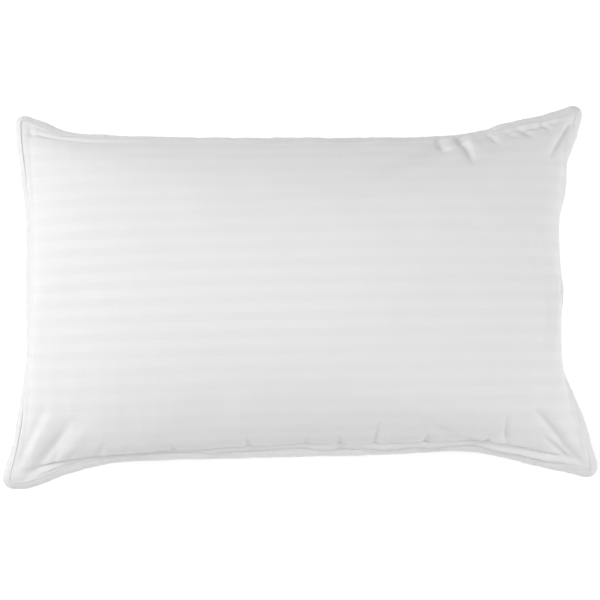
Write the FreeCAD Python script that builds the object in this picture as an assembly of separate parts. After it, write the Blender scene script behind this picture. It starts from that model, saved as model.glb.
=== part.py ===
"""Bed pillow: two striped ticking panels, an edge binding with its two rows of lockstitch, a fibre fill
and a care label. It lies on its lower panel, with its length along X and its width along Y."""

import FreeCAD, Part
import math
import os

V = FreeCAD.Vector

# Plan of the casing, half sizes out to the outer fold of the edge binding.
CORNER_X = 385.0        # at the corners before they are rounded, along the length
CORNER_Y = 249.0        # at the corners before they are rounded, along the width
WAIST_X = 346.0         # at the middle of a short side
WAIST_Y = 207.0         # at the middle of a long side
BOW_POWER = 2.4         # how far the pull-in of a side gathers towards its corners
EAR_RADIUS = 11.0       # rounding of each corner ear at the outer fold

# Heights above the surface that the pillow lies on.
SEAM_Z = 84.0           # plane in which the two panels meet
TOP_RISE = 101.0        # crown of the upper panel over the seam
BOTTOM_DROP = 106.0     # how far the lower panel would hang if nothing held it up
FULLNESS = 0.35         # 0 for an elliptical swell, more for a flatter crown and steeper sides

# Cloth, tape and thread.
PANEL = 0.6
TAPE = 0.5
BINDING_WIDTH = 12.0    # from the seam to the outer fold
CLEARANCE = 0.4         # between the binding's inner edges and the swelling panels
FILL_GAP = 0.3          # between the fill and the casing
FILL_STEP = 0.5         # how far the fill's lower half stands in from its upper half at the seam plane
THREAD_WIDTH = 0.7
THREAD_HEIGHT = 0.4
INNER_ROW = 9.5         # each stitch row's distance inside the outer fold
OUTER_ROW = 2.5

# Care label, a folded tab that hangs under the back edge.
LABEL_X = -215.0
LABEL_WIDTH = 28.0
LABEL_DROP = 42.0
LABEL_THICKNESS = 0.7

SPANS = 24              # spans each way across a panel's surface
ROOM = 1000.0           # side of a cutting block, larger than the pillow


def plan_point(u, v, inset):
    """A point of the plan for u and v from -1 to 1: a rectangle whose sides bow in between its corners."""
    half_x = WAIST_X + (CORNER_X - WAIST_X) * abs(v) ** BOW_POWER - inset
    half_y = WAIST_Y + (CORNER_Y - WAIST_Y) * abs(u) ** BOW_POWER - inset
    return u * half_x, v * half_y


def steps():
    """Places from -1 to 1 across a panel, closer together towards its rim."""
    return [math.sin(math.pi / 2 * (2 * i / SPANS - 1)) for i in range(SPANS + 1)]


def side(inset, z, fixed_u, fixed_v):
    """One bowed side of the plan, as an edge: u or v is held at -1 or 1 and the other one runs."""
    points = []
    for step in steps():
        u = step if fixed_u is None else fixed_u
        v = step if fixed_v is None else fixed_v
        x, y = plan_point(u, v, inset)
        points.append(V(x, y, z))
    curve = Part.BSplineCurve()
    curve.interpolate(points)
    return curve.toShape()


def plan_face(inset, z):
    """The level face inside the plan."""
    along = [side(inset, z, None, v) for v in (-1, 1)]
    across = [side(inset, z, u, None) for u in (-1, 1)]
    return Part.Face(Part.Wire(Part.__sortEdges__(along + across)))


def slab(inset, z_low, z_high, rounded=True):
    """A flat plate over the plan, with its corner ears rounded or left sharp."""
    plate = plan_face(inset, z_low).extrude(V(0, 0, z_high - z_low))
    if not rounded:
        return plate
    corners = [edge for edge in plate.Edges if edge.Length < z_high - z_low + 0.001]
    return plate.makeFillet(EAR_RADIUS - inset, corners).Solids[0]


def band(outer_inset, inner_inset, z_low, z_high, rounded=True):
    """A flat band that follows the plan all round; only its inner edge may have sharp corners."""
    hole = slab(inner_inset, z_low, z_high, rounded)
    return slab(outer_inset, z_low, z_high).cut(hole)


def swell(u, v, height):
    """Height of a panel over the seam plane, steepest at the seam and flattest at the crown."""
    share = math.sqrt(max(0.0, (1 - u * u) * (1 - v * v)))
    return height * share * (1 + FULLNESS * (1 - share))


def dome(inset, height, z):
    """The closed solid between a panel's swelling surface and the level face through its rim."""
    rows = []
    for u in steps():
        row = []
        for v in steps():
            x, y = plan_point(u, v, inset)
            row.append(V(x, y, z + swell(u, v, height)))
        rows.append(row)
    surface = Part.BSplineSurface()
    surface.interpolate(rows)
    swollen = surface.toShape()
    level = Part.Face(Part.Plane(V(0, 0, z), V(0, 0, 1)), swollen.OuterWire)
    solid = Part.Solid(Part.makeShell([swollen, level.reversed()]))
    if solid.Volume < 0:
        solid.reverse()
    return solid


def above(z):
    """A block that fills everything over a height."""
    return Part.makeBox(ROOM, ROOM, ROOM, V(-ROOM / 2, -ROOM / 2, z))


def level_face(solid, z):
    """The flat face of a solid at a height."""
    for face in solid.Faces:
        at_height = abs(face.CenterOfMass.z - z) < 0.001 and face.BoundBox.ZLength < 0.1
        if at_height and isinstance(face.Surface, Part.Plane):
            return face
    raise ValueError("no level face at this height")


def without(solid, face):
    """A solid's other faces."""
    return [other for other in solid.Faces if not other.isSame(face)]


def ring_face(outer, inner):
    """The level face between the rims of two level faces, looking the same way as the outer one."""
    ring = Part.Face(outer.Surface, outer.OuterWire)
    ring.cutHoles([inner.OuterWire])
    if ring.Area > outer.Area:
        ring = Part.Face(outer.Surface, outer.OuterWire)
        ring.cutHoles([inner.OuterWire.reversed()])
    if ring.normalAt(0, 0).dot(outer.normalAt(0, 0)) < 0:
        ring.reverse()
    return ring


def closed(faces):
    """The solid inside a set of faces that meet at shared edges."""
    solid = Part.Solid(Part.makeShell(faces))
    if solid.Volume < 0:
        solid.reverse()
    return solid


def panel(outside, inside, z_allowance, z_seam):
    """One cloth of the casing: an outer and an inner skin, joined by the seam allowance round their rims."""
    allowance = slab(TAPE, min(z_allowance, z_seam), max(z_allowance, z_seam))
    outer_rim = level_face(outside, z_allowance)
    inner_rim = level_face(inside, z_seam)
    outer_edge = level_face(allowance, z_allowance)
    inner_edge = level_face(allowance, z_seam)
    faces = without(outside, outer_rim) + [face.reversed() for face in without(inside, inner_rim)]
    faces += [ring_face(outer_edge, outer_rim), ring_face(inner_edge, inner_rim)]
    faces += [face for face in without(allowance, outer_edge) if not face.isSame(inner_edge)]
    return closed(faces)


def top_panel():
    """The upper cloth, with its seam allowance lying flat inside the binding."""
    outside = dome(BINDING_WIDTH, TOP_RISE, SEAM_Z + PANEL)
    inside = dome(BINDING_WIDTH + PANEL, TOP_RISE, SEAM_Z)
    return panel(outside, inside, SEAM_Z + PANEL, SEAM_Z)


def bottom_panel():
    """The lower cloth, with its seam allowance and the flat stretch that it rests on."""
    outside = dome(BINDING_WIDTH, -BOTTOM_DROP, SEAM_Z - PANEL).common(above(0))
    inside = dome(BINDING_WIDTH + PANEL, -BOTTOM_DROP, SEAM_Z).common(above(PANEL))
    return panel(outside.Solids[0], inside.Solids[0], SEAM_Z - PANEL, SEAM_Z)


def fibre_fill():
    """The stuffing, a single mass that fills the casing."""
    inset = BINDING_WIDTH + PANEL + FILL_GAP
    upper = dome(inset, TOP_RISE - FILL_GAP, SEAM_Z)
    lower = dome(inset + FILL_STEP, FILL_GAP - BOTTOM_DROP, SEAM_Z).common(above(PANEL + FILL_GAP)).Solids[0]
    upper_rim = level_face(upper, SEAM_Z)
    lower_rim = level_face(lower, SEAM_Z)
    return closed(without(upper, upper_rim) + without(lower, lower_rim) + [ring_face(upper_rim, lower_rim)])


def edge_binding():
    """One tape folded over the two seam allowances, all round the casing."""
    inner = BINDING_WIDTH - CLEARANCE
    upper_leg = band(0, inner, SEAM_Z + PANEL, SEAM_Z + PANEL + TAPE, rounded=False)
    lower_leg = band(0, inner, SEAM_Z - PANEL - TAPE, SEAM_Z - PANEL, rounded=False)
    fold = band(0, TAPE, SEAM_Z - PANEL, SEAM_Z + PANEL)
    return upper_leg.fuse([lower_leg, fold])


def stitch_thread(row_inset, upper):
    """One thread of a lockstitch row, lying along the binding's upper or lower face."""
    face_z = SEAM_Z + PANEL + TAPE if upper else SEAM_Z - PANEL - TAPE - THREAD_HEIGHT
    half = THREAD_WIDTH / 2
    return band(row_inset - half, row_inset + half, face_z, face_z + THREAD_HEIGHT)


def care_label():
    """A folded tab, caught under the back edge and hanging beside the lower panel."""
    back_y = plan_point(LABEL_X / CORNER_X, 1, (INNER_ROW + OUTER_ROW) / 2)[1]
    top_z = SEAM_Z - PANEL - TAPE
    corner = V(LABEL_X - LABEL_WIDTH / 2, back_y - LABEL_THICKNESS / 2, top_z - LABEL_DROP)
    return Part.makeBox(LABEL_WIDTH, LABEL_THICKNESS, LABEL_DROP, corner)


PIECES = {
    "top_panel": top_panel(),
    "bottom_panel": bottom_panel(),
    "fibre_fill": fibre_fill(),
    "edge_binding": edge_binding(),
    "inner_needle_thread": stitch_thread(INNER_ROW, upper=True),
    "inner_bobbin_thread": stitch_thread(INNER_ROW, upper=False),
    "outer_needle_thread": stitch_thread(OUTER_ROW, upper=True),
    "outer_bobbin_thread": stitch_thread(OUTER_ROW, upper=False),
    "care_label": care_label(),
}

os.makedirs("parts", exist_ok=True)
for name, shape in PIECES.items():
    solids = shape.Solids
    state = "valid" if shape.isValid() else "NOT VALID"
    box = shape.BoundBox
    heights = f"z {box.ZMin:.1f} to {box.ZMax:.1f}"
    print(f"{name}: {state}, {len(solids)} solid, {shape.Volume / 1e6:.4f} litres, {heights}")
    Part.Compound(solids).exportStep(f"parts/{name}.step")
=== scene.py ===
"""A plump bed pillow that lies flat: striped ticking over a fibre filling, a folded edge binding with two stitch
rows, and a blank care label. Everything is in metres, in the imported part's own frame."""
import math

import bpy
import numpy as np
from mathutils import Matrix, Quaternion, Vector


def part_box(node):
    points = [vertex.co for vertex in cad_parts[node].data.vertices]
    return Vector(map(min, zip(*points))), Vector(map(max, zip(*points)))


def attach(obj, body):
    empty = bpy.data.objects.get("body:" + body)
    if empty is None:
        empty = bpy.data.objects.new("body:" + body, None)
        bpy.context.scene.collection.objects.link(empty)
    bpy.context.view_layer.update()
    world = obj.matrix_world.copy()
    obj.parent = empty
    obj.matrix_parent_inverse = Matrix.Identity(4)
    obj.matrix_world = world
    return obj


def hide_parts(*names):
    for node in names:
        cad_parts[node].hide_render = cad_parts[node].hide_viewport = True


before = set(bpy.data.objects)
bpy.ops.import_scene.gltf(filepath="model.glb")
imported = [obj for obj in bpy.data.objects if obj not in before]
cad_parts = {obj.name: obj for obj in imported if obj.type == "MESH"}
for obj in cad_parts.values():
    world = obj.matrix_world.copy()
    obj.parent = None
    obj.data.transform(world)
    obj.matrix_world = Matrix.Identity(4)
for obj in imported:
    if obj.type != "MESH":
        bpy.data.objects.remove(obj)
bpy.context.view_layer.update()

# ---- sizes of the real thing, in metres
FLAT_LENGTH = 0.748          # each panel as cut, from seam to seam
TAPER = 0.0135               # how much longer the front edge is than the middle, as a share
FLAT_WIDTH = 0.474
SEAM_ALLOWANCE = 0.0105      # panel cloth that runs on into the binding
TAPE_WIDTH = 0.012           # binding, from the seam to its outer fold
TAPE_OVERLAP = 0.015         # where the binding's two ends lap
STITCH_PITCH = 0.003
STITCH_LENGTH = 0.0025
STITCH_RADIUS = 0.00030
INNER_ROW = 0.0025           # stitch rows, out from the seam
OUTER_ROW = 0.0095
STRIPE_PERIOD = 0.0218       # one satin stripe and one plain one
SEAM_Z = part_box("edge_binding")[0].z + 0.001
EAR_DROP = 0.014             # how much lower the seam is at the corners
SEAM_ROUNDING = 0.0055       # softens the seam's line at the corners
STEP = 0.0004                # spacing of the seam's points
TAPE_STEP = 0.0011           # spacing of the binding's rows of points
LAP_START = (0.288, -0.218)  # where the binding's first end is, beside the front right ear
LAP_RISE = 0.005             # the length in which its last end climbs over the first
LAP_LIFT = 0.0005            # how much the last end stands over the first
LAP_WIDER = 0.045            # and how much wider it is, as a share
ROW_HEIGHT = 0.00062         # half the binding's thickness under the stitches

# ---- the seam's line on the plump pillow, seen from above: (x, y) from corner to corner
FRONT = [(-.3785, -.2412), (-.3560, -.2410), (-.3290, -.2317), (-.3034, -.2216), (-.2525, -.2096),
         (-.2007, -.2045), (-.0466, -.2020), (.1074, -.1995), (.2107, -.1970), (.2615, -.2055), (.3125, -.2186),
         (.3755, -.2345)]
RIGHT = [(.3755, -.2345), (.3590, -.1680), (.3365, -.1163), (.3261, -.0787), (.3302, -.0384), (.3338, -.0002),
         (.3299, .0387), (.3307, .0909), (.3400, .1302), (.3440, .1694), (.3550, .2000), (.3660, .2375)]
BACK = [(.3660, .2375), (.3217, .2230), (.2688, .2107), (.2433, .2022), (.1902, .1951), (.1124, .1932),
        (-.0434, .1941), (-.2001, .1970), (-.2523, .1998), (-.3044, .2055), (-.3307, .2168), (-.3645, .2315)]
LEFT = [(-.3645, .2315), (-.3615, .1980), (-.3545, .1494), (-.3475, .0976), (-.3474, .0387), (-.3480, -.0325),
        (-.3470, -.0846), (-.3560, -.1361), (-.3640, -.1870), (-.3785, -.2412)]
# how far the binding leans down from level, in degrees, at the middle of each side and at the ears
LEAN = {"front": 30, "right": 54, "back": 43, "left": 54}
EAR_LEAN = 42
# where the binding has gathered the panels: side, share of the way along it, half width in metres, strength
GATHERS = [("front", 0.42, 0.006, 0.3), ("front", 0.64, 0.006, 0.4), ("front", 0.81, 0.009, 0.4),
           ("front", 0.88, 0.008, 0.3), ("back", 0.17, 0.009, 0.4), ("back", 0.10, 0.012, 0.2),
           ("back", 0.95, 0.014, 0.15), ("right", 0.50, 0.010, 0.3)]

# ---- the cloth's own mesh, for the simulation and for the finished panels
CELLS_X, CELLS_Y = 120, 80
TOP_CELLS = (312, 206)
UNDER_CELLS = (240, 158)
PRESSURE = 10.0
FRAMES = 34
RAMP_FRAMES = 15
# where the inflated folds are softened: the point on the flat cloth, the radius and the number of passes
EASED = [((-.374, .237), .16, 160), ((.374, .237), .12, 60), ((.374, -.237), .12, 60), ((-.374, -.237), .15, 110)]

# Folds of the upper panel: points on the flat cloth, half width and height, all in metres.
TOP_FOLDS = [
    # back right ear
    ([(.368, .222), (.352, .198), (.336, .176)], .0040, -.0046),
    ([(.354, .224), (.338, .200), (.322, .178)], .0090, .0018),
    # dimple at the back edge, and the small pleats beside it
    ([(.204, .231), (.209, .212), (.216, .192), (.223, .168)], .0052, -.0046),
    ([(.218, .229), (.225, .206), (.236, .184)], .0080, .0026),
    ([(.192, .229), (.196, .208), (.203, .186)], .0080, .0020),
    ([(.176, .231), (.182, .206), (.190, .188)], .0050, -.0022),
    ([(.244, .232), (.258, .200)], .0044, -.0034),
    ([(.266, .233), (.284, .208)], .0034, -.0022),
    ([(.286, .234), (.306, .208)], .0044, -.0034),
    ([(.305, .235), (.317, .219)], .0032, -.0020),
    ([(.321, .235), (.335, .214)], .0038, -.0028),
    ([(.334, .235), (.343, .221)], .0034, -.0016),
    # back left ear
    ([(-.367, .229), (-.367, .219)], .0030, .0014),
    ([(-.360, .229), (-.360, .219)], .0026, -.0016),
    ([(-.352, .229), (-.352, .219)], .0030, .0014),
    ([(-.374, .221), (-.350, .222), (-.325, .2255), (-.298, .229)], .0034, -.0024),
    ([(-.345, .231), (-.325, .230), (-.300, .232)], .0034, -.0024),
    # front right ear
    ([(.300, -.160), (.325, -.190), (.345, -.213), (.363, -.232)], .0050, -.0056),
    ([(.318, -.156), (.340, -.185), (.356, -.208)], .0080, .0024),
    ([(.312, -.198), (.332, -.215), (.351, -.231)], .0042, -.0044),
    ([(.318, -.184), (.338, -.205), (.353, -.223)], .0045, .0018),
    # front left ear
    ([(-.318, -.150), (-.340, -.185), (-.361, -.224)], .0110, .0034),
    ([(-.335, -.148), (-.353, -.185), (-.367, -.217)], .0070, -.0024),
    ([(-.294, -.162), (-.316, -.192), (-.342, -.227)], .0085, -.0040),
    ([(-.272, -.170), (-.290, -.196), (-.310, -.218)], .0080, .0020),
    ([(-.350, -.2325), (-.300, -.2318), (-.250, -.2312), (-.190, -.2305), (-.130, -.2300)], .0064, -.0078),
    ([(-.318, -.222), (-.310, -.201)], .0044, -.0018),
    ([(-.296, -.220), (-.291, -.206)], .0038, -.0014),
    ([(-.258, -.218), (-.250, -.196)], .0044, -.0022),
    ([(-.222, -.218), (-.219, -.205)], .0038, -.0012),
    # pocket over the front edge
    ([(.214, -.2145), (.240, -.2200), (.276, -.2220), (.308, -.2265)], .0040, -.0080),
    ([(.226, -.202), (.258, -.208), (.292, -.211)], .0060, .0030),
    ([(.236, -.198), (.233, -.222)], .0040, -.0030),
    ([(.258, -.168), (.257, -.192), (.262, -.214)], .0040, -.0036),
    # short puckers over the front edge
    ([(.095, -.180), (.091, -.206), (.086, -.230)], .0044, -.0028),
    ([(.105, -.188), (.101, -.224)], .0042, .0018),
    ([(-.072, -.200), (-.069, -.230)], .0042, -.0032),
    ([(-.165, -.206), (-.160, -.231)], .0042, -.0028),
    ([(.002, -.208), (.004, -.231)], .0040, -.0024),
    ([(.046, -.204), (.042, -.230)], .0040, -.0026),
    ([(.156, -.200), (.152, -.230)], .0044, -.0030),
    # drape folds beside the right edge
    ([(.298, .052), (.315, .012), (.319, -.030), (.310, -.078)], .0080, -.0022),
    ([(.316, .062), (.331, .015), (.335, -.030), (.325, -.088)], .0080, .0024),
    ([(.344, .046), (.352, .000), (.348, -.050)], .0060, -.0020),
]

# The roll of cloth that overhangs the binding beside the seam, and the crease behind it, in metres from the seam.
ROLL_AT, ROLL_WIDTH, ROLL_HEIGHT = 0.0052, 0.0036, 0.0034
CREASE_AT, CREASE_WIDTH, CREASE_DEPTH = 0.0132, 0.0024, 0.0031
ROLL_STRENGTH = {"front": 1.35, "back": 0.9, "left": 0.30, "right": 0.60}
EAR_SHARE = 0.22             # the share of a side, at each end, over which the roll fades towards the ear
ROLL_AT_EAR = 0.15           # what is left of the roll at the ear
# Puckers beside the seam: their spacing along it, height, and reach across the panel, in metres.
PUCKERS = ((0.011, 0.00055, 0.010), (0.024, 0.0010, 0.020))
PUCKER_STRENGTH = {"front": 1.7, "back": 1.2, "left": 0.8, "right": 0.8}
PUCKER_START = 0.003         # they grow to their height this far from the seam

# The filling's distance inside the panels, at most and as a share of the pillow's thickness there.
FILL_INSET, FILL_INSET_SHARE = 0.0085, 0.38
FILL_CLUMPS = 0.0015         # unevenness of the fibre's surface
FILL_RIM_PULL = 0.012        # how far its rim stands in from the seam, as a share of the way to the middle
FILL_EAR_PULL = 0.055        # the same for its corners

# ---- tones: the ticking's plain and satin stripes, and the binding; the satin stripes' lighter tone is a painted sheen
PLAIN_TONE, SATIN_TONE_WITH_PAINTED_SHEEN = 0.828, 0.841
TAPE_TONE = 0.85

# ---- light and camera: strengths in watts, or of emission
SURROUND = 0.24
FLOOR_GLOW = 0.32
LIGHT_SIZE = 1.5
LIGHTS = [("key", (-2.2, 0.4, 1.5), LIGHT_SIZE, 32.5), ("overhead", (-0.3, 0.0, 2.6), 1.6, 24.0),
          ("fill", (2.3, -0.5, 1.15), LIGHT_SIZE, 24.5)]
CAMERA_LENS = 106.7
CAMERA_RANGE = 2.3
CAMERA_HEIGHT = 86.0         # degrees above level, from the front
CAMERA_ROLL = -0.5
CAMERA_TARGET = Vector((0.0, -0.010, 0.08))


# ================================================================ curves
def spline(points, count):
    """A smooth curve through the points, as count points evenly spaced along its length."""
    p = np.array(points, float)
    p = np.vstack([2 * p[0] - p[1], p, 2 * p[-1] - p[-2]])
    t = np.linspace(0, 1, 60, endpoint=False)[:, None]
    runs = []
    for a, b, c, d in zip(p[:-3], p[1:-2], p[2:-1], p[3:]):
        runs.append(b + (c - a) * t / 2 + (a - 2.5 * b + 2 * c - d / 2) * t**2 + (1.5 * (b - c) + (d - a) / 2) * t**3)
    return respace(np.vstack(runs + [p[-2:-1]]), np.linspace(0, 1, count))


def lengths(points):
    """The length of a line of points up to each one."""
    return np.concatenate([[0], np.cumsum(np.linalg.norm(np.diff(points, axis=0), axis=1))])


def respace(points, shares):
    """Points at these shares of a line's length."""
    s = lengths(points)
    return np.stack([np.interp(np.asarray(shares) * s[-1], s, column) for column in points.T], axis=1)


def soften(values, sigma, closed=True):
    """Gaussian smoothing of rows of values, sigma in rows."""
    reach = int(4 * sigma) + 1
    kernel = np.exp(-0.5 * (np.arange(-reach, reach + 1) / sigma) ** 2)
    kernel /= kernel.sum()
    padded = np.pad(values.reshape(len(values), -1), ((reach, reach), (0, 0)), mode="wrap" if closed else "edge")
    return np.stack([np.convolve(c, kernel, "valid") for c in padded.T], axis=1).reshape(values.shape)


def ripple(count, knots, seed):
    """A closed, smooth, irregular wave of about -1 to 1, as count values."""
    rng = np.random.default_rng(seed)
    heights = rng.uniform(-1, 1, knots)
    at = np.arange(knots) + rng.uniform(-0.35, 0.35, knots)
    t = np.arange(count) * knots / count
    wave = np.interp(t, np.concatenate([at - knots, at, at + knots]), np.tile(heights, 3))
    return soften(wave, max(count / knots / 5, 0.6))


# ================================================================ the seam and the binding's surface
SIDES = {"front": FRONT, "right": RIGHT, "back": BACK, "left": LEFT}


def seam_line():
    """The seam as a closed line of points, its corners' indices, and each point's share of the way along its side."""
    runs, shares, lean, corners = [], [], [], []
    for name, points in SIDES.items():
        length = lengths(spline(points, 400))[-1]
        count = int(round(length / STEP))
        corners.append(sum(len(r) for r in runs))
        share = np.arange(count) / count
        runs.append(spline(points, count + 1)[:-1])
        shares.append(share)
        ear = np.abs(2 * share - 1) ** 6
        lean.append(LEAN[name] * (1 - ear) + EAR_LEAN * ear)
    flat = soften(np.vstack(runs), SEAM_ROUNDING / STEP)
    z = SEAM_Z - EAR_DROP * np.abs(2 * np.concatenate(shares) - 1) ** 3
    z = soften(z, 0.01 / STEP) + 0.0012 * ripple(len(flat), 26, 5)
    return np.column_stack([flat, z]), corners, soften(np.concatenate(lean), 0.012 / STEP)


SEAM, CORNERS, LEANS = seam_line()
COUNT = len(SEAM)


def binding_frames():
    """At each point of the seam, the direction across the binding and the one out of its upper face."""
    along = np.roll(SEAM, -3, axis=0) - np.roll(SEAM, 3, axis=0)
    along /= np.linalg.norm(along, axis=1)[:, None]
    outward = np.column_stack([along[:, 1], -along[:, 0], np.zeros(COUNT)])
    outward /= np.linalg.norm(outward, axis=1)[:, None]
    lifted = np.cross(outward, along)
    lifted *= np.sign(lifted[:, 2:3])
    angle = np.radians(LEANS + 7 * ripple(COUNT, 34, 11))[:, None]
    across = outward * np.cos(angle) - lifted * np.sin(angle)
    face = outward * np.sin(angle) + lifted * np.cos(angle)
    return soften(across, 4), soften(face, 4)


ACROSS, FACE = binding_frames()
SLOW_WAVE = 0.0009 * ripple(COUNT, 58, 21) + 0.0005 * ripple(COUNT, 190, 22)
PUCKER = 0.00075 * ripple(COUNT, 500, 23)
OUTER_WAVE = 0.0007 * ripple(COUNT, 80, 24)


def tape_point(place, across, lift):
    """World points on the binding: place is in seam points from the start, across is out from the seam, and lift is
    above the middle of its thickness. All three are arrays of one shape."""
    i = np.floor(place).astype(int)
    f = (place - i)[..., None]

    def at(table):
        return table[i % COUNT] * (1 - f[..., :1] if table.ndim == 2 else 1 - f[..., 0]) + table[(i + 1) % COUNT] * (
            f if table.ndim == 2 else f[..., 0])

    out = across / TAPE_WIDTH
    wave = at(SLOW_WAVE) * np.clip(out, 0, 2) ** 1.5 + at(PUCKER) * np.clip(out * 2.5, 0, 1) ** 2
    reach = across + at(OUTER_WAVE) * np.clip(out, 0, 2)
    return at(SEAM) + at(ACROSS) * reach[..., None] + at(FACE) * (lift + wave)[..., None]


def seam_place(points):
    """The nearest place along the seam to each point."""
    best = []
    for chunk in np.array_split(points, max(1, len(points) // 200)):
        gap = ((chunk[:, None, :2] - SEAM[None, :, :2]) ** 2).sum(axis=2)
        best.append(gap.argmin(axis=1))
    return np.concatenate(best)


def side_points(name, cells):
    """The seam's points where the panel's edge cells meet along one side, with more cloth at each gather."""
    order = list(SIDES)
    k = order.index(name)
    start, end = CORNERS[k], (CORNERS + [COUNT])[k + 1]
    run = SEAM[np.arange(start, end + 1) % COUNT]
    s = lengths(run)
    cloth = np.ones(len(run))
    for side, share, width, strength in GATHERS:
        if side == name:
            cloth += strength * np.exp(-((s / s[-1] - share) * s[-1] / width) ** 2)
    amount = np.concatenate([[0], np.cumsum((cloth[1:] + cloth[:-1]) / 2 * np.diff(s))])
    where = np.interp(np.linspace(0, amount[-1], cells + 1), amount, s)
    return np.stack([np.interp(where, s, c) for c in run.T], axis=1)


# ================================================================ the inflated casing
def bag_grids():
    """Vertex numbers of the upper and the under panel, which share the vertices of their edges."""
    upper = np.arange((CELLS_X + 1) * (CELLS_Y + 1)).reshape(CELLS_X + 1, CELLS_Y + 1)
    inner = np.zeros(upper.shape, bool)
    inner[1:-1, 1:-1] = True
    under = upper.copy()
    under[inner] = upper.size + np.arange(inner.sum())
    return upper, under, inner


def quads(grid, flip=False):
    """The faces of a grid of vertex numbers."""
    a, b, c, d = (g.ravel() for g in (grid[:-1, :-1], grid[1:, :-1], grid[1:, 1:], grid[:-1, 1:]))
    return np.stack([a, d, c, b] if flip else [a, b, c, d], axis=1)


def inflate():
    """Fills a flat bag of two panels until the cloth is taut, with its seam held on the seam line."""
    upper, under, inner = bag_grids()
    x = np.linspace(-FLAT_LENGTH / 2, FLAT_LENGTH / 2, CELLS_X + 1)
    y = np.linspace(-FLAT_WIDTH / 2, FLAT_WIDTH / 2, CELLS_Y + 1)
    gx, gy = np.meshgrid(x, y, indexing="ij")
    u, v = 2 * gx / FLAT_LENGTH, 2 * gy / FLAT_WIDTH
    puff = 0.004 * np.sqrt(np.clip((1 - u * u) * (1 - v * v), 0, 1))
    gx = gx * (1 - TAPER * v)
    start = np.column_stack([gx.ravel(), gy.ravel(), SEAM_Z + puff.ravel()])
    start = np.vstack([start, np.column_stack([gx[inner], gy[inner], SEAM_Z - puff[inner]])])
    faces = np.vstack([quads(upper), quads(under, True)])
    mesh = bpy.data.meshes.new("bag")
    mesh.from_pydata(start.tolist(), [], faces.tolist())
    bag = bpy.data.objects.new("bag", mesh)
    bpy.context.scene.collection.objects.link(bag)

    held = start.copy()
    held[upper[:, 0]] = side_points("front", CELLS_X)
    held[upper[-1, :]] = side_points("right", CELLS_Y)
    held[upper[::-1, -1]] = side_points("back", CELLS_X)
    held[upper[0, ::-1]] = side_points("left", CELLS_Y)
    edge = np.unique(np.concatenate([upper[:, 0], upper[:, -1], upper[0, :], upper[-1, :]]))
    bag.shape_key_add(name="Basis")
    key = bag.shape_key_add(name="seam")
    key.data.foreach_set("co", held.ravel())
    bag.vertex_groups.new(name="pin").add(edge.tolist(), 1.0, "REPLACE")
    key.value = 0
    key.keyframe_insert("value", frame=1)
    key.value = 1
    key.keyframe_insert("value", frame=RAMP_FRAMES)

    cloth = bag.modifiers.new("cloth", "CLOTH")
    s = cloth.settings
    s.vertex_group_mass = "pin"
    s.pin_stiffness = 1
    s.quality = 5
    s.mass = 0.1
    s.air_damping = 1
    s.tension_stiffness = s.compression_stiffness = 15
    s.shear_stiffness = 0.5
    s.bending_model = "ANGULAR"
    s.bending_stiffness = 0.05
    s.tension_damping = s.compression_damping = s.shear_damping = 5
    s.bending_damping = 0.5
    s.use_pressure = True
    s.uniform_pressure_force = PRESSURE
    s.effector_weights.gravity = 0
    cloth.collision_settings.distance_min = 0.001
    cloth.collision_settings.collision_quality = 2
    cloth.point_cache.frame_start = 1
    cloth.point_cache.frame_end = FRAMES
    table_mesh = bpy.data.meshes.new("table")
    table_mesh.from_pydata([(-1, -1, -.001), (1, -1, -.001), (1, 1, -.001), (-1, 1, -.001)], [], [(0, 1, 2, 3)])
    table = bpy.data.objects.new("table", table_mesh)
    bpy.context.scene.collection.objects.link(table)
    table.modifiers.new("collision", "COLLISION")
    table.collision.thickness_outer = 0.001
    table.collision.cloth_friction = 5

    scene = bpy.context.scene
    for step in range(1, FRAMES + 1):
        scene.frame_set(step)
    final = bag.evaluated_get(bpy.context.evaluated_depsgraph_get()).data
    place = np.empty(len(final.vertices) * 3)
    final.vertices.foreach_get("co", place)
    place = place.reshape(-1, 3)
    for used in (bag, table):
        data = used.data
        bpy.data.objects.remove(used)
        bpy.data.meshes.remove(data)
    for action in list(bpy.data.actions):
        bpy.data.actions.remove(action)
    scene.frame_set(1)
    return place[upper], place[under]


# ================================================================ finished panels
def refine(grid, count, axis):
    """A grid of points with count points along one axis, on smooth curves through its own."""
    g = np.moveaxis(grid, axis, 0)
    g = np.concatenate([2 * g[:1] - g[1:2], g, 2 * g[-1:] - g[-2:-1]])
    t = np.linspace(0, len(g) - 3, count)
    i = np.minimum(t.astype(int), len(g) - 4)
    f = (t - i).reshape(-1, *([1] * (g.ndim - 1)))
    a, b, c, d = g[i], g[i + 1], g[i + 2], g[i + 3]
    made = b + (c - a) * f / 2 + (a - 2.5 * b + 2 * c - d / 2) * f**2 + (1.5 * (b - c) + (d - a) / 2) * f**3
    return np.moveaxis(made, 0, axis)


def relax(grid, passes):
    """Evens out the cloth's own cell-sized ripples, with its edges kept."""
    g = grid.copy()
    for _ in range(passes):
        mean = (g[:-2, 1:-1] + g[2:, 1:-1] + g[1:-1, :-2] + g[1:-1, 2:]) / 4
        g[1:-1, 1:-1] += 0.5 * (mean - g[1:-1, 1:-1])
    return g


def seam_gap(x, y):
    """How far points of the flat panel are from its nearest seam."""
    return np.minimum(FLAT_LENGTH / 2 - np.abs(x), FLAT_WIDTH / 2 - np.abs(y))


def ease(grid, spots):
    """Softens the folds of a panel around points of the flat cloth, each with its radius and number of passes."""
    g = grid.copy()
    x, y = flat_grid(g.shape[:2])
    for (px, py), radius, passes in spots:
        share = 0.5 * np.exp(-((x - px) ** 2 + (y - py) ** 2) / radius**2) * (1 - np.exp(-seam_gap(x, y) / 0.025))
        share = share[1:-1, 1:-1, None]
        for _ in range(passes):
            mean = (g[:-2, 1:-1] + g[2:, 1:-1] + g[1:-1, :-2] + g[1:-1, 2:]) / 4
            g[1:-1, 1:-1] += share * (mean - g[1:-1, 1:-1])
    return g


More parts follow.
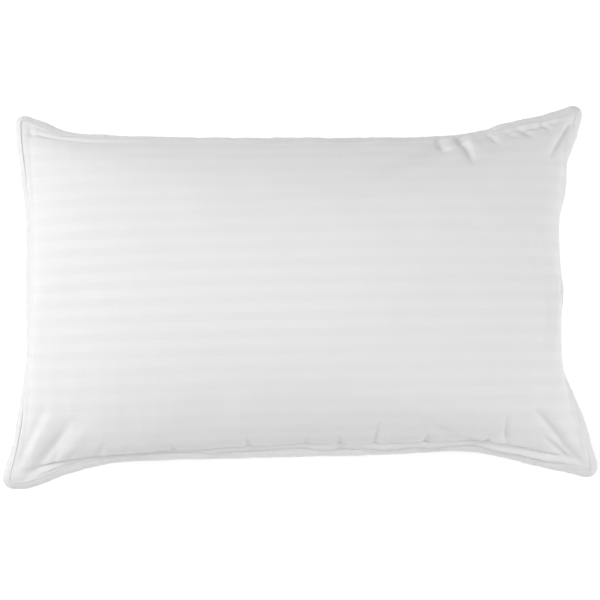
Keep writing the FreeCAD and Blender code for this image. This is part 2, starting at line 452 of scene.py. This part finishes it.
def grid_normals(grid, sign):
    """The outward normals of a panel's grid."""
    n = np.cross(np.gradient(grid, axis=0), np.gradient(grid, axis=1))
    return sign * n / np.maximum(np.linalg.norm(n, axis=2), 1e-12)[..., None]


def flat_grid(shape):
    """Flat-cloth coordinates of a grid's points, in metres from the panel's centre."""
    x = np.linspace(-FLAT_LENGTH / 2, FLAT_LENGTH / 2, shape[0])
    y = np.linspace(-FLAT_WIDTH / 2, FLAT_WIDTH / 2, shape[1])
    return np.meshgrid(x, y, indexing="ij")


def seam_gaps(shape):
    """For each side of a panel: its name, how far each point of the grid is from it, and whether it is a long one."""
    x, y = flat_grid(shape)
    return [("front", y + FLAT_WIDTH / 2, True), ("back", FLAT_WIDTH / 2 - y, True),
            ("left", x + FLAT_LENGTH / 2, False), ("right", FLAT_LENGTH / 2 - x, False)]


def along_side(values, long_side):
    """Values along one side, spread over the whole grid."""
    return values[:, None] if long_side else values[None, :]


def seam_puckers(shape, seed):
    """How far the panel stands out or in beside the seam, where the stitching has drawn it up."""
    height = np.zeros(shape)
    for k, (name, gap, long_side) in enumerate(seam_gaps(shape)):
        count = shape[0] if long_side else shape[1]
        span = FLAT_LENGTH if long_side else FLAT_WIDTH
        for period, size, reach in PUCKERS:
            wave = ripple(4 * count, 4 * max(4, int(span / period)), seed + 10 * k + int(1000 * period))[:count]
            wave = PUCKER_STRENGTH[name] * size * along_side(wave, long_side)
            height += wave * np.exp(-gap / reach) * (1 - np.exp(-gap / PUCKER_START))
    return height


def edge_roll(shape):
    """The soft roll of cloth that overhangs the binding beside each seam, and the crease behind it."""
    height = np.zeros(shape)
    for k, (name, gap, long_side) in enumerate(seam_gaps(shape)):
        count = shape[0] if long_side else shape[1]
        away = np.clip((1 - np.abs(np.linspace(-1, 1, count))) / EAR_SHARE, 0, 1)
        fade = (1 - ROLL_AT_EAR) * away * away * (3 - 2 * away)
        uneven = (fade + ROLL_AT_EAR) * (1 + 0.5 * ripple(4 * count, 120, 400 + k)[:count])
        crease = fade * (1 + 0.9 * ripple(4 * count, 90, 410 + k)[:count])
        roll = ROLL_HEIGHT * np.exp(-((gap - ROLL_AT) / ROLL_WIDTH) ** 2)
        groove = CREASE_DEPTH * np.exp(-((gap - CREASE_AT) / CREASE_WIDTH) ** 2)
        uneven, crease = along_side(uneven, long_side), along_side(crease, long_side)
        height += ROLL_STRENGTH[name] * (uneven * roll - crease * groove)
    return height


def random_swells(shape, knots, seed):
    """A smooth irregular height of about -1 to 1 over a panel, with this many swells along and across it."""
    rough = np.random.default_rng(seed).uniform(-1, 1, knots)
    return refine(refine(rough, shape[0], 0), shape[1], 1)


def lumps(shape, seed):
    """The unevenness of the fibre under the cloth, and faint wrinkles that run up from the front seam."""
    x, y = flat_grid(shape)
    height = 0.0012 * random_swells(shape, (9, 7), seed) + 0.00060 * random_swells(shape, (26, 17), seed + 1)
    front = np.exp(-((y + FLAT_WIDTH / 2) / 0.15) ** 2)
    back = np.exp(-((y - FLAT_WIDTH / 2) / 0.05) ** 2)
    height += 0.00060 * random_swells(shape, (74, 6), seed + 2) * front
    height += 0.00040 * random_swells(shape, (84, 8), seed + 3) * back
    height += 0.00012 * random_swells(shape, (60, 30), seed + 4)
    return height


def new_piece(name, verts, faces, uv, material, nodes):
    """A smooth mesh piece that rides on the pillow's one body and stands for its CAD solids."""
    mesh = bpy.data.meshes.new(name)
    mesh.from_pydata(np.asarray(verts).tolist(), [], [list(map(int, f)) for f in faces])
    layer = mesh.uv_layers.new(name="cloth")
    corner = np.empty(len(mesh.loops), int)
    mesh.loops.foreach_get("vertex_index", corner)
    layer.data.foreach_set("uv", np.asarray(uv, float)[corner].ravel())
    mesh.shade_smooth()
    mesh.materials.append(material)
    piece = bpy.data.objects.new(name, mesh)
    bpy.context.scene.collection.objects.link(piece)
    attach(piece, "root")
    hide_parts(*nodes)
    return piece


def rim_numbers(shape):
    """The border vertices of a grid, in order round it from the front left corner, front edge first."""
    g = np.arange(shape[0] * shape[1]).reshape(shape)
    return np.concatenate([g[:-1, 0], g[-1, :-1], g[:0:-1, -1], g[0, :0:-1]])


def panel_piece(name, grid, sign, material, node):
    """One ticking panel: the inflated grid and its seam allowance inside the binding."""
    shape = grid.shape[:2]
    x, y = flat_grid(shape)
    verts = [grid.reshape(-1, 3)]
    uv = [np.column_stack([x.ravel(), y.ravel()])]
    faces = [quads(np.arange(x.size).reshape(shape), sign < 0)]
    rim = rim_numbers(shape)
    place = seam_place(verts[0][rim])
    last = rim
    for out in (SEAM_ALLOWANCE / 2, SEAM_ALLOWANCE):
        ring = sum(len(v) for v in verts) + np.arange(len(rim))
        verts.append(tape_point(place.astype(float), np.full(len(rim), out), np.full(len(rim), sign * 0.00015)))
        side = uv[0][rim] / np.array([FLAT_LENGTH / 2, FLAT_WIDTH / 2])
        uv.append(uv[0][rim] + out * np.where(np.abs(side) > 0.9999, np.sign(side), 0))
        a, b, c, d = last, ring, np.roll(ring, -1), np.roll(last, -1)
        faces.append(np.stack([a, b, c, d] if sign > 0 else [a, d, c, b], axis=1))
        last = ring
    return new_piece(name, np.vstack(verts), np.vstack(faces), np.vstack(uv), material, [node])


def finished_panel(sim, cells, sign, seed, features=()):
    """A simulated panel as a fine grid, with its seam puckers and its own folds."""
    grid = refine(refine(sim, cells[0] + 1, 0), cells[1] + 1, 1)
    normal = grid_normals(grid, sign)
    height = seam_puckers(grid.shape[:2], seed) + edge_roll(grid.shape[:2]) + lumps(grid.shape[:2], seed + 50)
    x, y = flat_grid(grid.shape[:2])
    near_seam = 1 - np.exp(-seam_gap(x, y) / 0.003)
    for feature in features:
        height += near_seam * fold_height(x, y, *feature)
    inside = np.zeros(grid.shape[:2], bool)
    inside[1:-1, 1:-1] = True
    return grid + normal * np.where(inside, height, 0)[..., None]


def fold_height(x, y, points, width, height):
    """A soft ridge (height above 0) or crease (below 0) along a line of points on the flat panel, tapering out at
    its ends."""
    line = spline(points, 60)
    best = np.full(x.shape, 1e9)
    share = np.zeros(x.shape)
    for k, (px, py) in enumerate(line):
        gap = (x - px) ** 2 + (y - py) ** 2
        nearer = gap < best
        best = np.where(nearer, gap, best)
        share = np.where(nearer, k / (len(line) - 1), share)
    taper = np.sin(np.pi * np.clip(0.12 + 0.76 * share, 0, 1)) ** 0.8
    return height * taper * np.exp(-best / width**2)


# ================================================================ binding, stitches, filling and label
def tape_section():
    """The folded tape's section as (out from the seam, up from the middle): its outer skin, then its inner one."""
    skin = [(-.0012, .0001), (-.0010, .0006), (-.0004, .0010), (.0006, .0011), (.0016, .0009), (INNER_ROW, .0006),
            (.0034, .0009), (.0048, .0011), (.0062, .00115), (.0076, .0011), (.0088, .0009), (OUTER_ROW, ROW_HEIGHT),
            (.0103, .0008), (.0112, .0008), (.0118, .0005), (.0120, 0.0)]
    outer = skin + [(a, -h) for a, h in skin[-2::-1]]
    liner = [(-.0006, .0002), (.0025, .0003), (.0062, .0007), (.0095, .0003), (.0113, .0002)]
    inner = liner + [(a, -h) for a, h in liner[::-1]]
    return np.array(outer + inner[::-1])


def lap_places():
    """Places along the binding from its first end to its last, which laps over the first."""
    start = seam_place(np.array([[*LAP_START, 0]]))[0]
    outer = SEAM + ACROSS * TAPE_WIDTH * 0.6
    s = lengths(np.vstack([outer, outer[:1]]))
    total = s[-1]
    first = s[start]
    wanted = np.arange(first, first + total + TAPE_OVERLAP, TAPE_STEP)
    turns = np.floor(wanted / total)
    return np.interp(wanted - turns * total, s, np.arange(COUNT + 1)) + turns * COUNT, wanted - first, total


def tape_piece(material):
    """The binding, one length of tape folded over the panels' edges all round."""
    section = tape_section()
    place, run, total = lap_places()
    lap = np.clip((run - total + 0.8 * LAP_RISE) / LAP_RISE, 0, 1)
    lap = (lap * lap * (3 - 2 * lap))[:, None]
    across = section[None, :, 0] * (1 + LAP_WIDER * lap)
    lift = section[None, :, 1] + np.sign(section[None, :, 1]) * LAP_LIFT * lap
    points = tape_point(np.repeat(place[:, None], len(section), axis=1), across, lift)
    rows, count = points.shape[:2]
    number = np.arange(rows * count).reshape(rows, count)
    ring = np.concatenate([number, number[:, :1]], axis=1)
    faces = [list(f) for f in quads(ring, True)]
    half = count - 10
    for end, flip in ((number[0], False), (number[-1], True)):
        outer, inner = end[:half], end[half:][::-1]
        pick = np.round(np.linspace(0, len(inner) - 1, len(outer))).astype(int)
        for k in range(len(outer) - 1):
            face = [outer[k], outer[k + 1], inner[pick[k + 1]]]
            if pick[k] != pick[k + 1]:
                face.append(inner[pick[k]])
            faces.append(face[::-1] if flip else face)
    girth = lengths(section)
    uv = np.stack(np.broadcast_arrays(run[:, None], girth[None, :]), axis=2).reshape(-1, 2)
    return new_piece("edge_tape", points.reshape(-1, 3), faces, uv, material, ["edge_binding"])


def stitch_row(name, across, sign, material, node):
    """One thread of a stitch row, as the short runs of it that show on one face of the binding."""
    height = ROW_HEIGHT + 0.5 * STITCH_RADIUS
    every = np.arange(COUNT, dtype=float)
    row = tape_point(every, np.full(COUNT, across), np.full(COUNT, sign * height))
    s = lengths(np.vstack([row, row[:1]]))
    total = s[-1]
    number = int(round(total / STITCH_PITCH))
    pitch = total / number
    rng = np.random.default_rng(int(across * 10000) + (7 if sign > 0 else 3))
    start = (np.arange(number) + rng.uniform(-0.04, 0.04, number)) * pitch + (0.0013 if sign < 0 else 0)
    share = np.array([0, 0.12, 0.35, 0.65, 0.88, 1.0])
    size = np.array([0.45, 0.9, 1.0, 1.0, 0.9, 0.45]) * STITCH_RADIUS
    sink = np.array([-0.00042, -0.00012, 0, 0, -0.00012, -0.00042])
    where = start[:, None] + share[None] * STITCH_LENGTH
    place = np.interp(where % total, s, np.arange(COUNT + 1))
    sway = rng.uniform(-0.00012, 0.00012, (number, 1)) * np.ones((1, 6))
    turn = np.arange(6) * math.tau / 6
    cosine, sine = np.cos(turn), np.sin(turn)
    a = across + sway[..., None] + size[None, :, None] * cosine
    h = sign * (height + sink[None, :, None] + 0.8 * size[None, :, None] * sine)
    shape = (number, 6, 6)
    points = tape_point(*(np.broadcast_to(values, shape) for values in (place[..., None], a, h)))
    block = np.arange(36).reshape(6, 6)
    ring = np.concatenate([block, block[:, :1]], axis=1)
    one = [list(f) for f in quads(ring, sign > 0)]
    one += [list(block[0][::-1] if sign < 0 else block[0]), list(block[-1] if sign < 0 else block[-1][::-1])]
    faces = [[v + 36 * k for v in f] for k in range(number) for f in one]
    uv = np.empty((number, 6, 6, 2))
    uv[..., 0] = share[None, :, None] * STITCH_LENGTH + 0.01 * (np.arange(number) % 50)[:, None, None]
    uv[..., 1] = (turn * STITCH_RADIUS)[None, None]
    return new_piece(name, points.reshape(-1, 3), faces, uv.reshape(-1, 2), material, [node])


def filling_piece(upper, under, material):
    """The fibre filling, inside the two panels, with its corners short of the ears' tips."""
    top = relax(upper, 3)[::2, ::2]
    low = relax(under, 3)[::2, ::2]
    inset = np.minimum(FILL_INSET, FILL_INSET_SHARE * np.linalg.norm(top - low, axis=2))[..., None]
    top = top - inset * grid_normals(top, 1)
    low = low - inset * grid_normals(low, -1)
    shape = top.shape[:2]
    rng = np.random.default_rng(3)
    clumps = rng.uniform(-1, 0, shape)
    for _ in range(2):
        clumps[1:-1, 1:-1] = (clumps[1:-1, 1:-1] + clumps[:-2, 1:-1] + clumps[2:, 1:-1] + clumps[1:-1, :-2]
                              + clumps[1:-1, 2:]) / 5
    for g, sign in ((top, 1), (low, -1)):
        g[1:-1, 1:-1] += (FILL_CLUMPS * clumps[..., None] * grid_normals(g, sign))[1:-1, 1:-1]
    middle = (top + low) / 2
    centre = np.array([0, 0, SEAM_Z])
    border = np.ones(shape, bool)
    border[1:-1, 1:-1] = False
    rim = middle[border] + (centre - middle[border]) * FILL_RIM_PULL
    top[border] = rim
    low[border] = rim
    x, y = flat_grid(shape)
    pull = (FILL_EAR_PULL * np.abs(4 * x * y / (FLAT_LENGTH * FLAT_WIDTH)) ** 8)[..., None]
    top += (centre - top) * pull
    low += (centre - low) * pull
    number = np.arange(border.size).reshape(shape)
    below = number.copy()
    below[~border] = number.size + np.arange((~border).sum())
    verts = np.vstack([top.reshape(-1, 3), low[~border]])
    uv = np.vstack([np.column_stack([x.ravel(), y.ravel()]), np.column_stack([x[~border], y[~border] + 1])])
    faces = np.vstack([quads(number), quads(below, True)])
    return new_piece("fibre_filling", verts, faces, uv, material, ["fibre_fill"])


def label_piece(material):
    """A blank ribbon label, folded double, that hangs from the seam under the back edge."""
    low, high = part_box("care_label")
    width = high.x - low.x
    middle = (low.x + high.x) / 2
    place = float(seam_place(np.array([[middle, high.y - 0.01, 0]]))[0])
    root = tape_point(np.array([place]), np.array([0.004]), np.array([-0.0018]))[0]
    drop = high.z - low.z
    down = np.linspace(0, 1, 22)
    sway = 0.010 * np.sin(down * 1.7)
    back = np.column_stack([root[1] + 0.002 * down + sway * 0.3, root[2] - drop * down])
    gap = 0.00045 + 0.0011 * np.sin(np.pi * down) ** 2
    front = back + np.column_stack([gap, np.zeros(22)])
    fold = [(back[-1] + front[-1]) / 2 + np.array([0.0004 * math.cos(t), -0.0006 * math.sin(t)])
            for t in np.linspace(math.pi, 0, 7)[1:-1]]
    line = np.vstack([back, fold, front[::-1]])
    across = np.linspace(-0.5, 0.5, 15)
    s = lengths(line)
    curl = 0.0012 * (2 * across) ** 2
    x = middle + width * across
    verts = np.empty((len(line), len(across), 3))
    depth = np.clip((root[2] - line[:, 1]) / drop, 0, 1)
    verts[..., 0] = x[None, :] + 0.004 * (depth**1.5)[:, None]
    verts[..., 1] = line[:, :1] + curl[None, :] * depth[:, None] * 1.6
    verts[..., 2] = line[:, 1:]
    number = np.arange(verts.shape[0] * verts.shape[1]).reshape(verts.shape[:2])
    uv = np.stack(np.broadcast_arrays((width * across)[None, :], s[:, None]), axis=2).reshape(-1, 2)
    piece = new_piece("label_ribbon", verts.reshape(-1, 3), quads(number), uv, material, ["care_label"])
    return piece, float(s[-1]), width


# ================================================================ materials
def new_material(name):
    """A node material, a function that adds a node with its inputs and settings, its shader and its node tree."""
    material = bpy.data.materials.new(name)
    material.use_nodes = True
    tree = material.node_tree

    def node(kind, inputs=(), **settings):
        made = tree.nodes.new(kind)
        for key, value in settings.items():
            setattr(made, key, value)
        for key, value in dict(inputs).items():
            if isinstance(value, bpy.types.NodeSocket):
                tree.links.new(value, made.inputs[key])
            else:
                made.inputs[key].default_value = value
        return made

    return material, node, tree.nodes["Principled BSDF"], tree


def maths(node, kind, a, b=0.0, c=0.0):
    """The result of one arithmetic node."""
    return node("ShaderNodeMath", {0: a, 1: b, 2: c}, operation=kind).outputs[0]


def coordinates(node):
    """Flat-cloth coordinates: the vector, and its two parts."""
    uv = node("ShaderNodeUVMap", uv_map="cloth").outputs[0]
    split = node("ShaderNodeSeparateXYZ", {0: uv})
    return uv, split.outputs[0], split.outputs[1]


def wave(node, value, period):
    """A sine of this period in a coordinate, from -1 to 1."""
    return maths(node, "SINE", maths(node, "MULTIPLY", value, math.tau / period))


def smooth_range(node, value, low, high, to_low=0.0, to_high=1.0):
    """A value carried softly from one range to another."""
    made = node("ShaderNodeMapRange", {0: value, 1: low, 2: high, 3: to_low, 4: to_high},
                interpolation_type="SMOOTHSTEP")
    return made.outputs[0]


def noise(node, uv, scale, stretch=(1, 1, 1), detail=3.0):
    """Soft noise on the flat cloth, stretched along a direction."""
    mapped = node("ShaderNodeMapping", {0: uv, 3: stretch}).outputs[0]
    return node("ShaderNodeTexNoise", {"Vector": mapped, "Scale": scale, "Detail": detail}).outputs[0]


def mix(node, share, a, b):
    """A number between a and b."""
    return maths(node, "MULTIPLY_ADD", share, maths(node, "SUBTRACT", b, a), a)


def ticking_material():
    """White cotton sateen with tone-on-tone satin stripes; the satin stripes are painted a little lighter than the
    plain ones, a painted sheen.
    """
    material, node, shader, tree = new_material("ticking_sateen")
    uv, x, y = coordinates(node)
    turn = maths(node, "FRACT", maths(node, "MULTIPLY_ADD", y, 1 / STRIPE_PERIOD, 100.0))
    ramp = maths(node, "ABSOLUTE", maths(node, "SUBTRACT", turn, 0.5))
    satin = smooth_range(node, ramp, 0.235, 0.265)
    slub = noise(node, uv, 420.0, (0.045, 1, 1))
    warp = noise(node, uv, 420.0, (1, 0.06, 1))
    mottle = noise(node, uv, 14.0)
    # the satin stripes are painted lighter than the plain ones: a painted sheen, while the stripes themselves are the
    # real weave
    tone = mix(node, satin, PLAIN_TONE, SATIN_TONE_WITH_PAINTED_SHEEN)
    tone = maths(node, "MULTIPLY_ADD", slub, 0.030, maths(node, "SUBTRACT", tone, 0.015))
    tone = maths(node, "MULTIPLY_ADD", warp, 0.020, maths(node, "SUBTRACT", tone, 0.010))
    tone = maths(node, "MULTIPLY_ADD", mottle, 0.016, maths(node, "SUBTRACT", tone, 0.008))
    colour = node("ShaderNodeCombineColor", {0: tone, 1: maths(node, "MULTIPLY", tone, 1.002),
                                             2: maths(node, "MULTIPLY", tone, 0.998)}).outputs[0]
    rough = mix(node, satin, 0.72, 0.50)
    rough = maths(node, "MULTIPLY_ADD", slub, 0.10, maths(node, "SUBTRACT", rough, 0.05))
    plain_weave = maths(node, "MULTIPLY", wave(node, x, 0.00062), wave(node, y, 0.00062))
    slant = maths(node, "MULTIPLY_ADD", x, 0.35, y)
    floats = wave(node, slant, 0.00044)
    weave = mix(node, satin, plain_weave, maths(node, "MULTIPLY", floats, 0.6))
    weave = maths(node, "MULTIPLY_ADD", slub, 1.2, weave)
    weave = maths(node, "MULTIPLY_ADD", satin, 0.7, weave)
    bump = node("ShaderNodeBump", {"Height": weave, "Distance": 0.00005, "Strength": 0.45})
    rumple = noise(node, uv, 46.0, (0.5, 1, 1), 2.0)
    soft = node("ShaderNodeBump", {"Height": rumple, "Distance": 0.0012, "Strength": 0.35, "Normal": bump.outputs[0]})
    tree.links.new(colour, shader.inputs["Base Color"])
    tree.links.new(rough, shader.inputs["Roughness"])
    tree.links.new(soft.outputs[0], shader.inputs["Normal"])
    shader.inputs["Specular IOR Level"].default_value = 0.42
    shader.inputs["Sheen Weight"].default_value = 0.10
    shader.inputs["Sheen Roughness"].default_value = 0.4
    return material


def tape_material():
    """White plain-weave cotton tape."""
    material, node, shader, tree = new_material("binding_tape")
    uv, x, y = coordinates(node)
    ribs = maths(node, "MULTIPLY", wave(node, x, 0.0009), wave(node, y, 0.0007))
    slub = noise(node, uv, 900.0, (1, 0.12, 1))
    mottle = noise(node, uv, 160.0, (1, 0.5, 1))
    tone = maths(node, "MULTIPLY_ADD", slub, 0.05, TAPE_TONE - 0.04)
    tone = maths(node, "MULTIPLY_ADD", mottle, 0.03, tone)
    colour = node("ShaderNodeCombineColor", {0: tone, 1: tone, 2: maths(node, "MULTIPLY", tone, 0.995)}).outputs[0]
    height = maths(node, "MULTIPLY_ADD", slub, 1.5, ribs)
    bump = node("ShaderNodeBump", {"Height": height, "Distance": 0.00009, "Strength": 0.6})
    creases = noise(node, uv, 420.0, (1, 0.25, 1), 2.0)
    soft = node("ShaderNodeBump", {"Height": creases, "Distance": 0.0010, "Strength": 0.6,
                                   "Normal": bump.outputs[0]})
    tree.links.new(colour, shader.inputs["Base Color"])
    tree.links.new(smooth_range(node, slub, 0.2, 0.8, 0.72, 0.9), shader.inputs["Roughness"])
    tree.links.new(soft.outputs[0], shader.inputs["Normal"])
    shader.inputs["Specular IOR Level"].default_value = 0.3
    shader.inputs["Sheen Weight"].default_value = 0.15
    shader.inputs["Sheen Roughness"].default_value = 0.5
    return material


def thread_material():
    """White twisted polyester thread; the grooves of its twist are painted darker, a painted shade."""
    material, node, shader, tree = new_material("sewing_thread")
    uv, x, y = coordinates(node)
    twist = wave(node, maths(node, "ADD", x, y), 0.0006)
    # the thread's tone follows the twist's bump and is darker in its grooves: painted shade
    tone = smooth_range(node, twist, -1.0, 1.0, 0.80, 0.92)
    colour = node("ShaderNodeCombineColor", {0: tone, 1: tone, 2: maths(node, "MULTIPLY", tone, 0.99)}).outputs[0]
    bump = node("ShaderNodeBump", {"Height": twist, "Distance": 0.00006, "Strength": 0.7})
    tree.links.new(colour, shader.inputs["Base Color"])
    tree.links.new(smooth_range(node, twist, -1.0, 1.0, 0.5, 0.35), shader.inputs["Roughness"])
    tree.links.new(bump.outputs[0], shader.inputs["Normal"])
    shader.inputs["Sheen Weight"].default_value = 0.1
    return material


def filling_material():
    """Loose white polyester fibre, painted darker in the hollows of its bump: a painted shade."""
    material, node, shader, tree = new_material("polyester_fibre")
    uv = coordinates(node)[0]
    tangle = node("ShaderNodeTexNoise", {"Vector": uv, "Scale": 260.0, "Detail": 6.0, "Distortion": 2.5}).outputs[0]
    clump = noise(node, uv, 24.0)
    # the fibre's tone follows its bump and is darker in the hollows: painted shade
    tone = smooth_range(node, tangle, 0.3, 0.7, 0.78, 0.93)
    tone = maths(node, "MULTIPLY_ADD", clump, 0.06, maths(node, "SUBTRACT", tone, 0.03))
    colour = node("ShaderNodeCombineColor", {0: tone, 1: tone, 2: tone}).outputs[0]
    bump = node("ShaderNodeBump", {"Height": maths(node, "ADD", tangle, clump), "Distance": 0.002, "Strength": 0.7})
    tree.links.new(colour, shader.inputs["Base Color"])
    tree.links.new(smooth_range(node, tangle, 0.3, 0.7, 0.95, 0.8), shader.inputs["Roughness"])
    tree.links.new(bump.outputs[0], shader.inputs["Normal"])
    shader.inputs["Sheen Weight"].default_value = 0.3
    return material


def label_material():
    """Blank white satin ribbon."""
    material, node, shader, tree = new_material("label_satin")
    uv, x, y = coordinates(node)
    ribs = wave(node, y, 0.0005)
    slub = noise(node, uv, 900.0, (0.08, 1, 1))
    tone = smooth_range(node, slub, 0.25, 0.75, 0.83, 0.90)
    colour = node("ShaderNodeCombineColor", {0: tone, 1: tone, 2: tone}).outputs[0]
    bump = node("ShaderNodeBump", {"Height": maths(node, "ADD", ribs, slub), "Distance": 0.00004, "Strength": 0.5})
    tree.links.new(colour, shader.inputs["Base Color"])
    tree.links.new(smooth_range(node, slub, 0.2, 0.8, 0.35, 0.5), shader.inputs["Roughness"])
    tree.links.new(bump.outputs[0], shader.inputs["Normal"])
    return material


# ================================================================ stage, light and camera
def point_at(thing, target):
    """Turns a light or camera towards a point."""
    thing.rotation_euler = (Vector(target) - thing.location).to_track_quat("-Z", "Y").to_euler()


def area_light(name, place, size, power, target=(0, 0, 0.08)):
    """A soft square light."""
    data = bpy.data.lights.new(name, "AREA")
    data.size = size
    data.energy = power
    light = bpy.data.objects.new(name, data)
    bpy.context.scene.collection.objects.link(light)
    light.location = place
    point_at(light, target)


def studio():
    """A pale floor, a big soft light from the left and an even white surround."""
    floor_mesh = bpy.data.meshes.new("floor")
    floor_mesh.from_pydata([(-6, -6, 0), (6, -6, 0), (6, 6, 0), (-6, 6, 0)], [], [(0, 1, 2, 3)])
    floor = bpy.data.objects.new("floor", floor_mesh)
    bpy.context.scene.collection.objects.link(floor)
    material = new_material("floor_white")[0]
    shader = material.node_tree.nodes["Principled BSDF"]
    shader.inputs["Base Color"].default_value = (0.93, 0.93, 0.93, 1)
    shader.inputs["Roughness"].default_value = 0.9
    shader.inputs["Specular IOR Level"].default_value = 0.1
    shader.inputs["Emission Color"].default_value = (1, 1, 1, 1)
    shader.inputs["Emission Strength"].default_value = FLOOR_GLOW
    floor_mesh.materials.append(material)
    world = bpy.data.worlds.new("surround")
    world.use_nodes = True
    world.node_tree.nodes["Background"].inputs[0].default_value = (1, 1, 1, 1)
    world.node_tree.nodes["Background"].inputs[1].default_value = SURROUND
    bpy.context.scene.world = world
    for name, place, size, power in LIGHTS:
        area_light(name, place, size, power)
    bpy.context.scene.view_settings.view_transform = "Standard"


def camera():
    """The camera, almost straight above the pillow and a little towards its front."""
    data = bpy.data.cameras.new("camera")
    data.lens = CAMERA_LENS
    eye = bpy.data.objects.new("camera", data)
    bpy.context.scene.collection.objects.link(eye)
    height = math.radians(CAMERA_HEIGHT)
    eye.location = CAMERA_TARGET + CAMERA_RANGE * Vector((0, -math.cos(height), math.sin(height)))
    facing = (CAMERA_TARGET - eye.location).to_track_quat("-Z", "Y")
    eye.rotation_euler = (facing @ Quaternion((0, 0, 1), math.radians(CAMERA_ROLL))).to_euler()
    bpy.context.scene.camera = eye


# ================================================================ the pillow
camera()
studio()
sim_upper, sim_under = inflate()
sim_upper, sim_under = ease(relax(sim_upper, 2), EASED), relax(sim_under, 2)
ticking = ticking_material()
thread = thread_material()

filling = filling_piece(sim_upper, sim_under, filling_material())
top_grid = finished_panel(sim_upper, TOP_CELLS, 1, 101, TOP_FOLDS)
under_grid = finished_panel(sim_under, UNDER_CELLS, -1, 301)
under_grid[..., 2] = np.maximum(under_grid[..., 2], 0.0002)
ticking_top = panel_piece("ticking_top", top_grid, 1, ticking, "top_panel")
ticking_under = panel_piece("ticking_under", under_grid, -1, ticking, "bottom_panel")

tape = tape_piece(tape_material())
stitch_row("stitches_inner_needle", INNER_ROW, 1, thread, "inner_needle_thread")
stitch_row("stitches_inner_bobbin", INNER_ROW, -1, thread, "inner_bobbin_thread")
stitch_row("stitches_outer_needle", OUTER_ROW, 1, thread, "outer_needle_thread")
stitch_row("stitches_outer_bobbin", OUTER_ROW, -1, thread, "outer_bobbin_thread")
label, label_length, label_width = label_piece(label_material())
